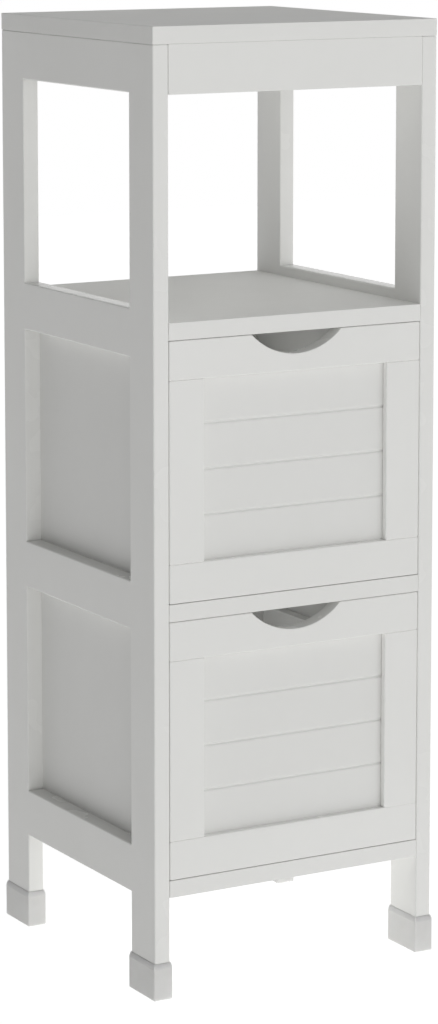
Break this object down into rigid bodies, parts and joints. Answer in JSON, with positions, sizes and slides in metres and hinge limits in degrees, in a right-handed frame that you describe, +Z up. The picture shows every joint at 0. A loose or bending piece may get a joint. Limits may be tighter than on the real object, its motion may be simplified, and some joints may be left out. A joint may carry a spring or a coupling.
{
  "type": "bathroom base cabinet",
  "caption": "Slim free-standing bathroom cabinet: an open shelf over drawers with half-moon hand cut-outs, on flat legs with foot caps.",
  "frame": {"origin": "on the floor, under the middle of the cabinet", "axes": "+Z up, +X to the right as seen from the front, and the drawers open towards -Y"},
  "size_m": [0.304, 0.304, 0.89],
  "materials": {
    "painted_board": "satin paint on MDF board",
    "painted_sheet": "satin paint on thin hardboard",
    "beech": "bare planed beech",
    "zinc": "die-cast zinc",
    "steel": "zinc-plated steel",
    "cap_plastic": "milky moulded plastic, slightly translucent"
  },
  "bodies": {
    "cabinet": {"top_panel": "painted_board", "front_apron": "painted_board", "back_apron": "painted_board", "shelf_board": "painted_board", "divider_rail": "painted_board", "bottom_board": "painted_board", "back_panel": "painted_sheet", "left_front_leg": "painted_board", "left_back_leg": "painted_board", "right_front_leg": "painted_board", "right_back_leg": "painted_board", "left_bottom_rail": "painted_board", "left_middle_rail": "painted_board", "left_shelf_rail": "painted_board", "left_top_rail": "painted_board", "right_bottom_rail": "painted_board", "right_middle_rail": "painted_board", "right_shelf_rail": "painted_board", "right_top_rail": "painted_board", "left_upper_drawer_liner": "painted_sheet", "left_lower_drawer_liner": "painted_sheet", "right_upper_drawer_liner": "painted_sheet", "right_lower_drawer_liner": "painted_sheet", "left_upper_drawer_runner": "beech", "left_lower_drawer_runner": "beech", "right_upper_drawer_runner": "beech", "right_lower_drawer_runner": "beech", "left_front_foot_cap": "cap_plastic", "left_back_foot_cap": "cap_plastic", "right_front_foot_cap": "cap_plastic", "right_back_foot_cap": "cap_plastic", "wood_dowels": "beech", "cam_bolts": "steel", "cam_locks": "zinc", "runner_screws": "steel"},
    "upper_drawer": {"upper_drawer_top_rail": "painted_board", "upper_drawer_bottom_rail": "painted_board", "upper_drawer_left_stile": "painted_board", "upper_drawer_right_stile": "painted_board", "upper_drawer_plank_panel": "painted_board", "upper_drawer_left_side": "painted_board", "upper_drawer_right_side": "painted_board", "upper_drawer_back": "painted_board", "upper_drawer_floor": "painted_sheet", "upper_drawer_cam_fittings": "steel", "upper_drawer_back_screws": "steel", "upper_drawer_front_dowels": "beech"},
    "lower_drawer": {"lower_drawer_top_rail": "painted_board", "lower_drawer_bottom_rail": "painted_board", "lower_drawer_left_stile": "painted_board", "lower_drawer_right_stile": "painted_board", "lower_drawer_plank_panel": "painted_board", "lower_drawer_left_side": "painted_board", "lower_drawer_right_side": "painted_board", "lower_drawer_back": "painted_board", "lower_drawer_floor": "painted_sheet", "lower_drawer_cam_fittings": "steel", "lower_drawer_back_screws": "steel", "lower_drawer_front_dowels": "beech"}
  },
  "joints": [
    {"name": "upper_drawer_slide", "type": "slide", "parent": "cabinet", "child": "upper_drawer", "axis": [0, -1, 0], "range_m": [0, 0.2]},
    {"name": "lower_drawer_slide", "type": "slide", "parent": "cabinet", "child": "lower_drawer", "axis": [0, -1, 0], "range_m": [0, 0.2]}
  ]
}
